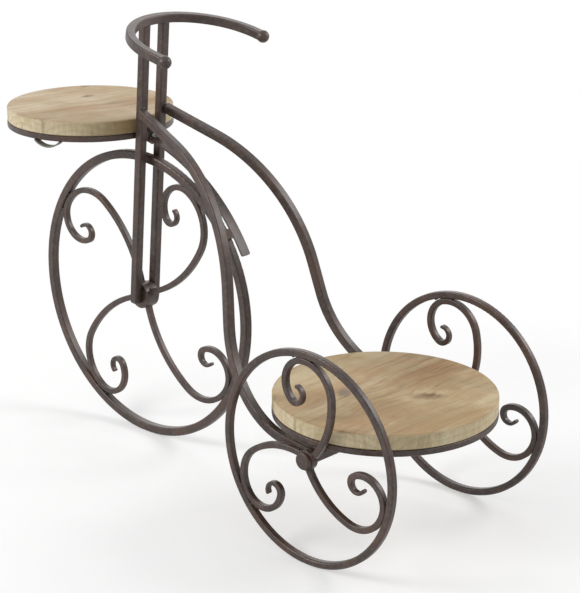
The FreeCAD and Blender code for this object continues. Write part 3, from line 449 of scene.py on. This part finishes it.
ring_runs = []
for which, turns in tab_turns.items():
    low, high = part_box(f"{which}_board_ring")
    middle = Vector(((low.x + high.x) / 2, (low.y + high.y) / 2, high.z - tab_drop))
    inner = (high.x - low.x) / 2 - ring_inset
    for turn in turns:
        at = middle + ring_outward(turn) * inner
        along = ring_tangent(turn) * half_tab_weld
        ring_runs.append((at - along, at + along, tab_weld))
low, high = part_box("front_board_ring")
middle = Vector(((low.x + high.x) / 2, (low.y + high.y) / 2, low.z - strap_sink))
for reach in (-half_strap, half_strap):
    at = middle + ring_outward(strap_turn) * strap_circle + ring_tangent(strap_turn) * reach
    along = ring_outward(strap_turn) * half_strap_weld
    ring_runs.append((at - along, at + along, strap_weld))
weld_piece("ring_welds", "frame", ring_runs)


def zinc(name):
    """Bright zinc plate, a little clouded, with a fine turned sheen."""
    material, plate = new_finish(name)
    place = plate.node("ShaderNodeTexCoord", output="Object")
    cloud = plate.noise(place, scale=900.0, detail=3.0)
    fine = plate.noise(place, scale=5200.0)
    dull = cloud.ramp((0.4, 0.0), (0.7, 1.0)) * 0.5
    base = plate.blend(dull, paint_tone(150, 150, 144), paint_tone(96, 97, 98))
    relief = plate.bumped(fine, strength=0.2, distance=0.0002)
    plate.coat({"Metallic": 1.0}, {"Base Color": base, "Roughness": 0.34 + cloud * 0.2, "Normal": relief})
    return material


bolt_zinc = zinc("bolt_zinc")
end_facing = 0.9


def pick_faces(piece, facing):
    """Selects only the faces whose normal's Z passes the test, and leaves the piece in edit mode."""
    bpy.ops.object.mode_set(mode="EDIT")
    bpy.ops.mesh.select_all(action="DESELECT")
    bpy.ops.object.mode_set(mode="OBJECT")
    for face in piece.data.polygons:
        face.select = facing(face.normal.z)
    bpy.ops.object.mode_set(mode="EDIT")


def cut_away(piece, cutter):
    """Takes the cutter's shape out of the piece, and removes the cutter."""
    bpy.context.view_layer.objects.active = piece
    cut = piece.modifiers.new("cut", "BOOLEAN")
    cut.operation = "DIFFERENCE"
    cut.object = cutter
    bpy.ops.object.modifier_apply(modifier="cut")
    bpy.data.objects.remove(cutter)


def plate_piece(piece, name, crease):
    """Names the piece, smooths it up to a crease angle in degrees, and plates it."""
    bpy.ops.object.select_all(action="DESELECT")
    piece.select_set(True)
    bpy.context.view_layer.objects.active = piece
    bpy.ops.object.shade_smooth_by_angle(angle=math.radians(crease))
    piece.name = name
    piece.data.materials.clear()
    piece.data.materials.append(bolt_zinc)


def cross_head(name, radius, height, shank_radius, shank_length, tip):
    """Pan-headed screw along Z with a cross recess, its head's seat at the origin and its shank upwards."""
    head_round = height * 0.55
    tip_share = 0.25
    recess = (radius * 1.15, radius * 0.26, height * 0.9)
    bpy.ops.object.select_all(action="DESELECT")
    bpy.ops.mesh.primitive_cylinder_add(vertices=32, radius=radius, depth=height,
                                        location=(0, 0, -height / 2))
    head = bpy.context.object
    bpy.ops.object.transform_apply(location=True)
    pick_faces(head, lambda z: z < -end_facing)
    bpy.ops.mesh.bevel(offset=head_round, segments=4, profile=0.6)
    pick_faces(head, lambda z: z > end_facing)
    bpy.ops.mesh.inset(thickness=radius - shank_radius)
    bpy.ops.mesh.extrude_region_move(TRANSFORM_OT_translate={"value": (0, 0, shank_length - tip)})
    bpy.ops.mesh.extrude_region_move(TRANSFORM_OT_translate={"value": (0, 0, tip)})
    bpy.ops.transform.resize(value=(tip_share, tip_share, 1.0), center_override=(0, 0, shank_length))
    bpy.ops.object.mode_set(mode="OBJECT")
    for turn in (0.0, math.pi / 2):
        bpy.ops.object.select_all(action="DESELECT")
        bpy.ops.mesh.primitive_cube_add(size=1.0, location=(0, 0, -height), rotation=(0, 0, turn))
        cutter = bpy.context.object
        cutter.scale = recess
        cut_away(head, cutter)
    plate_piece(head, name, crease=35)
    return head


bolt_low, bolt_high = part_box("front_ring_bolt")
bolt_middle = (bolt_low + bolt_high) / 2
bolt_head = 0.0024
bolt_shank = 0.0020
bolt_tip = 0.0006
ring_bolt = cross_head("ring_bolt", (bolt_high.z - bolt_low.z) / 2, bolt_head, bolt_shank,
                       bolt_high.x - bolt_low.x - bolt_head, bolt_tip)
bolt_seat = Vector((bolt_high.x - bolt_head, bolt_middle.y, bolt_middle.z))
ring_bolt.data.transform(Matrix.Translation(bolt_seat) @ Matrix.Rotation(-math.pi / 2, 4, "Y"))
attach(ring_bolt, "frame")
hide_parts("front_ring_bolt")

nut_low, nut_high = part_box("front_ring_nut")
nut_radius = (nut_high.z - nut_low.z) / 2
nut_height = nut_high.x - nut_low.x
nut_edge = 0.0004
nut_bore = 0.00205
nut_bore_length = 0.02
bpy.ops.object.select_all(action="DESELECT")
bpy.ops.mesh.primitive_cylinder_add(vertices=6, radius=nut_radius, depth=nut_height)
ring_nut = bpy.context.object
pick_faces(ring_nut, lambda z: abs(z) > end_facing)
bpy.ops.mesh.bevel(offset=nut_edge, segments=2)
bpy.ops.object.mode_set(mode="OBJECT")
bpy.ops.mesh.primitive_cylinder_add(vertices=24, radius=nut_bore, depth=nut_bore_length)
cut_away(ring_nut, bpy.context.object)
plate_piece(ring_nut, "ring_nut", crease=30)
ring_nut.data.transform(Matrix.Translation((nut_low + nut_high) / 2) @ Matrix.Rotation(math.pi / 2, 4, "Y"))
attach(ring_nut, "frame")
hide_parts("front_ring_nut")

# Boards: each glued up from three staves of pale fir, sawn round and left raw, and screwed to its ring
# from below. The growth rings run through the wood, so the faces show long streaks and a few knots, and
# the rims show rough end grain.


def knot_marks(board, across, along, ragged):
    """How far the knots push the growth rings outwards, and each knot's share and tone."""
    push = 0.006
    fall_off = 0.35
    bulge = 0.0
    marks = []
    for x, y, long, short, slant, depth, tone in board["knots"]:
        offset = Vector((x, y, 0))
        offset.rotate(Matrix.Rotation(-board["turn"], 3, "Z"))
        cosine = math.cos(slant - board["turn"])
        sine = math.sin(slant - board["turn"])
        out = across - offset.x
        up = along - offset.y
        lengthwise = (out * cosine + up * sine) / long
        crosswise = (up * cosine - out * sine) / short
        near = lengthwise * lengthwise + crosswise * crosswise
        bulge = (near * -fall_off).maths("EXPONENT") * push + bulge
        marks.append(((near + ragged).ramp((0.15, 1.0), (1.0, 0.0)) * depth, tone))
    return bulge, marks


def bell(value, middle, breadth):
    """1 at the middle, falling off smoothly on both sides."""
    away = (value - middle) / breadth
    return (away * away * -1.0).maths("EXPONENT")


def fir(name, board, heart, shift):
    """Fir stave: rings round a heart line below the face, wavy fibres along it, knots, glue lines and
    painted shade on one side of the rim.
    """
    material, wood = new_finish(name)
    place = wood.node("ShaderNodeTexCoord", output="Object")
    local = wood.node("ShaderNodeMapping", {"vector_type": "TEXTURE"},
                      {"Vector": place, "Location": board["centre"], "Rotation": (0, 0, board["turn"])})
    across = wood.node("ShaderNodeSeparateXYZ", {}, {0: local})
    along = across.other("Y")
    height = across.other("Z")
    sway = wood.noise(local, scale=11.0) * 0.030 - 0.015
    grain = across + sway

    def streaks(fine, long, seed, detail=2.0, roughness=0.5):
        sockets = {0: grain * fine + (seed + shift), 1: along * long + seed, 2: height * fine}
        return wood.noise(wood.node("ShaderNodeCombineXYZ", {}, sockets), 1.0, detail, roughness)

    ragged = streaks(fine=240.0, long=34.0, seed=3.3, detail=3.0, roughness=0.6) * 1.9 - 0.95
    bulge, marks = knot_marks(board, across, along, ragged)
    ring_width = 0.0085
    heart_x, heart_z = heart
    level = grain - heart_x
    rise = height - heart_z
    radius = (level * level + rise * rise).maths("SQRT") + bulge
    ring = (radius / ring_width + streaks(fine=60.0, long=8.0, seed=7.7) * 0.6).maths("FRACT")
    late = ring.ramp((0.0, 0.0), (0.40, 0.10), (0.80, 0.80), (0.92, 1.0), (1.0, 0.0))
    broad = streaks(fine=34.0, long=4.5, seed=12.3, detail=3.0, roughness=0.6)
    narrow = streaks(fine=150.0, long=9.0, seed=31.6, detail=3.0, roughness=0.6)
    band = broad.ramp((0.44, 0.0), (0.64, 1.0))
    smear = narrow.ramp((0.50, 0.0), (0.68, 1.0))
    fibre = streaks(fine=520.0, long=26.0, seed=5.9, detail=3.0, roughness=0.65)
    dash = streaks(fine=330.0, long=38.0, seed=21.4).ramp((0.62, 0.0), (0.74, 1.0))
    patch = wood.noise(local, scale=13.0, detail=4.0, roughness=0.6)
    bloom = wood.noise(local, scale=31.0, detail=3.0, roughness=0.6)
    core_middle, core_breadth, core_depth, core_tone = board["core"]
    heartwood = bell(grain, core_middle, core_breadth) * core_depth
    face_layers = [
        (patch.ramp((0.38, 0.0), (0.62, 1.0)) * 0.9, board["golden"]),
        (heartwood * (0.30 + band * 0.55), core_tone),
        (band * 0.40, paint_tone(178, 136, 96)),
        (bloom.ramp((0.50, 0.0), (0.70, 1.0)) * 0.26, paint_tone(174, 160, 122)),
        (smear * (0.24 + heartwood * 0.5), paint_tone(132, 98, 70)),
        (late * 0.13, paint_tone(146, 118, 84)),
        (fibre.ramp((0.50, 0.0), (0.78, 1.0)) * 0.26, paint_tone(132, 106, 78)),
        (dash * 0.24, paint_tone(112, 86, 62))]

    skin = wood.node("ShaderNodeTexCoord", output="Normal")
    upright = wood.node("ShaderNodeSeparateXYZ", {}, {0: skin}).other("Z")
    rim = (1.0 - upright.maths("ABSOLUTE")).ramp((0.25, 0.0), (0.75, 1.0))
    arc = along.maths("ARCTAN2", across)
    scored = wood.node("ShaderNodeCombineXYZ", {}, {0: arc * 24.0, 1: height * 40.0, 2: shift})
    saw = wood.noise(scored, scale=1.0, detail=5.0, roughness=0.7)
    rough = wood.noise(place, scale=240.0, detail=3.0, roughness=0.6)
    # Painted shade: a band of the rim, centred on one angle round the board's middle, is darkened to stand
    # in for the shade on that side.
    shade_middle, shade_breadth, shade_depth = board["painted_shade_side"]
    rim_painted_shade = bell(arc, shade_middle, shade_breadth) * shade_depth
    rim_layers = [
        (rim * 0.74, board["edge"]),
        (rim * patch.ramp((0.46, 0.0), (0.66, 1.0)) * 0.35, paint_tone(176, 162, 118)),
        (rim * saw.ramp((0.42, 0.0), (0.66, 1.0)) * 0.48, paint_tone(164, 144, 104)),
        (rim * late * 0.20, paint_tone(146, 126, 86)),
        (rim * rough.ramp((0.56, 0.0), (0.74, 1.0)) * 0.30, paint_tone(136, 114, 78)),
        (rim * rim_painted_shade, paint_tone(134, 106, 62))]

    glue_width = 0.0008
    glue_tone = paint_tone(112, 92, 66)
    seam_layers = []
    for seam in board["seams"]:
        line = (across - seam).maths("ABSOLUTE").ramp((0.0, 1.0), (glue_width, 0.0))
        seam_layers.append((line * (0.08 + rim * 0.40), glue_tone))
    base = board["pale"]
    for share, tone in face_layers + rim_layers + marks + seam_layers:
        base = wood.blend(share, base, tone)
    relief = fibre * 0.45 + late * 0.2 + (saw * 0.6 + rough * 0.5) * rim - dash * 0.4
    wood.coat({"Specular IOR Level": 0.3},
              {"Base Color": base, "Roughness": 0.64 + fibre * 0.16,
               "Normal": wood.bumped(relief, strength=0.35, distance=0.0009)})
    return material


def board_centre(ring):
    low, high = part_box(ring)
    return (low.x + high.x) / 2, 0.0, high.z


grey_knot = paint_tone(124, 112, 104)
brown_knot = paint_tone(136, 108, 78)
dark_knot = paint_tone(92, 72, 52)
amber_knot = paint_tone(110, 80, 44)
front_slant = math.radians(78.0)
rear_slant = math.radians(43.6)
rear_cross_slant = math.radians(-46.4)
# A knot is its place from the board's middle, its two half lengths, its slant, its depth and its tone.
boards = {
    "front": {
        "centre": board_centre("front_board_ring"),
        "turn": math.radians(-12.0),
        "seams": (-0.030, 0.054),
        "hearts": ((-0.085, -0.050), (0.020, -0.062), (0.090, -0.030)),
        "shifts": (11.0, 22.0, 33.0),
        "core": (0.042, 0.026, 0.55, paint_tone(154, 126, 108)),
        "pale": paint_tone(214, 198, 170),
        "golden": paint_tone(192, 170, 136),
        "edge": paint_tone(222, 211, 180),
        "painted_shade_side": (0.05, 0.48, 0.72),
        "knots": ((-0.0355, 0.026, 0.013, 0.0065, front_slant, 0.65, brown_knot),
                  (-0.0365, 0.024, 0.005, 0.003, front_slant, 0.60, dark_knot),
                  (0.0255, 0.0235, 0.026, 0.006, front_slant, 0.45, grey_knot),
                  (-0.0885, 0.066, 0.010, 0.006, front_slant, 0.65, dark_knot))},
    "rear": {
        "centre": board_centre("rear_board_ring"),
        "turn": 0.0,
        "seams": (-0.023, 0.094),
        "hearts": ((-0.075, -0.070), (0.045, -0.085), (0.150, -0.045)),
        "shifts": (22.0, 39.0, 56.0),
        "core": (-0.012, 0.042, 0.80, paint_tone(148, 114, 76)),
        "pale": paint_tone(208, 190, 154),
        "golden": paint_tone(184, 157, 116),
        "edge": paint_tone(226, 213, 180),
        "painted_shade_side": (1.90, 0.55, 0.35),
        "knots": ((-0.0324, -0.0406, 0.017, 0.0095, rear_cross_slant, 0.80, grey_knot),
                  (0.0492, 0.0222, 0.027, 0.013, rear_slant, 0.74, brown_knot),
                  (0.0511, 0.0280, 0.012, 0.0070, rear_slant, 0.62, amber_knot))}}
for which, board in boards.items():
    for number, (heart, shift) in enumerate(zip(board["hearts"], board["shifts"]), start=1):
        stave_fir = fir(f"{which}_fir_{number}", board, heart, shift)
        finish_nodes(stave_fir, f"{which}_board_stave_{number}")

# Wood screws: plated pan-head screws driven up through the tabs into the boards, three under the front
# board and four under the rear one, left at odd turns as a hand leaves them.

screw_head = 0.0024
screw_shape = cross_head("screw_shape", radius=0.0040, height=screw_head, shank_radius=0.00175,
                         shank_length=0.0165, tip=0.0040)
screw_inset = 0.0166
screw_twist = 1.7
for which, turns in tab_turns.items():
    low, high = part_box(f"{which}_board_ring")
    screw_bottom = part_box(f"{which}_board_screws")[0].z
    middle = Vector(((low.x + high.x) / 2, 0, screw_bottom + screw_head))
    circle = (high.x - low.x) / 2 - screw_inset
    meshes = []
    for turn in turns:
        place = Matrix.Translation(middle + ring_outward(turn) * circle)
        mesh = screw_shape.data.copy()
        mesh.transform(place @ Matrix.Rotation(math.radians(turn * screw_twist), 4, "Z"))
        meshes.append(mesh)
    screws = joined(f"{which}_screws", meshes)
    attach(screws, "frame")
    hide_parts(f"{which}_board_screws")
bpy.data.objects.remove(screw_shape)

# Studio: a pale floor that keeps the stand's shadow, three wide soft lamps and a white surround, seen
# through a long lens from the stand's rear left.

white = (1.0, 1.0, 1.0, 1.0)
floor_size = 40.0
floor_drop = 0.0004
floor_grey = (0.80, 0.80, 0.80, 1.0)
floor_glow = 0.24
floor_lift = 0.25
surround_light = 0.48


def background_rays(finish):
    """1 for a ray that shows the background to the eye, and 0 for one that only carries its light."""
    rays = finish.node("ShaderNodeLightPath")
    seen = rays.other("Is Camera Ray") + rays.other("Is Glossy Ray") + rays.other("Is Transmission Ray")
    return seen.maths("MINIMUM", 1.0)


bpy.ops.object.select_all(action="DESELECT")
bpy.ops.mesh.primitive_plane_add(size=floor_size, location=(0, 0, -floor_drop))
floor = bpy.context.object
floor.name = "floor"
floor_white, pale_floor = new_finish("floor_white")
seen = background_rays(pale_floor)
spot = pale_floor.node("ShaderNodeTexCoord", output="Object")
away = pale_floor.node("ShaderNodeVectorMath", {"operation": "LENGTH"}, {0: spot}, "Value")
fade = (away * 0.4).ramp((0.28, 0.0), (0.72, 1.0))
matte = pale_floor.node("ShaderNodeBsdfDiffuse", {}, {"Color": floor_grey})
glow = pale_floor.node("ShaderNodeEmission", {}, {"Color": white, "Strength": seen * floor_glow})
lit = pale_floor.node("ShaderNodeAddShader", {}, {0: matte, 1: glow})
plain = pale_floor.node("ShaderNodeEmission", {}, {"Color": white, "Strength": 1.0})
plain_share = (fade * (1.0 - floor_lift) + floor_lift) * seen
ground = pale_floor.node("ShaderNodeMixShader", {}, {0: plain_share, 1: lit, 2: plain})
pale_floor.node("ShaderNodeOutputMaterial", {}, {"Surface": ground})
floor.data.materials.append(floor_white)

world = bpy.data.worlds.new("surround")
bpy.context.scene.world = world
world.use_nodes = True
world.node_tree.nodes.clear()
surround = Shade(world.node_tree)
strength = surround_light + background_rays(surround) * (1.0 - surround_light)
sky = surround.node("ShaderNodeBackground", {}, {"Color": white, "Strength": strength})
surround.node("ShaderNodeOutputWorld", {}, {"Surface": sky})

lamp_aim = Vector((0, 0, 0.25))


def soft_lamp(name, place, size, power):
    lamp = bpy.data.lights.new(name, "AREA")
    lamp.shape = "DISK"
    lamp.size = size
    lamp.energy = power
    holder = bpy.data.objects.new(name, lamp)
    holder.location = place
    holder.rotation_euler = (lamp_aim - Vector(place)).to_track_quat("-Z", "Y").to_euler()
    bpy.context.collection.objects.link(holder)


soft_lamp("left_lamp", place=(-1.6, -2.6, 1.9), size=1.4, power=58.0)
soft_lamp("right_lamp", place=(1.5, 2.1, 2.0), size=1.3, power=34.0)
soft_lamp("back_lamp", place=(-1.9, 2.1, 1.2), size=2.4, power=16.0)

azimuth = math.radians(43.606)
elevation = math.radians(18.884)
roll = math.radians(0.083)
distance = 2.436
aim_point = Vector((0.0654, 0, 0.250))
aim_level = 0.02248
aim_up = 0.01117
focal_pixels = 1861.25
image_height = 593
sensor = 36.0
back = Vector((math.sin(azimuth) * math.cos(elevation), -math.cos(azimuth) * math.cos(elevation),
               math.sin(elevation)))
level = Vector((math.cos(azimuth), math.sin(azimuth), 0))
upward = back.cross(level)
right = level * math.cos(roll) + upward * math.sin(roll)
top = upward * math.cos(roll) - level * math.sin(roll)
lens = bpy.data.cameras.new("camera")
lens.sensor_width = sensor
lens.lens = focal_pixels / image_height * sensor
lens.clip_start = 0.05
lens.clip_end = 60.0
camera = bpy.data.objects.new("camera", lens)
stand_point = aim_point + level * aim_level + upward * aim_up + back * distance
camera.matrix_world = Matrix.Translation(stand_point) @ Matrix((right, top, back)).transposed().to_4x4()
bpy.context.collection.objects.link(camera)
bpy.context.scene.camera = camera
bpy.context.scene.view_settings.view_transform = "Standard"
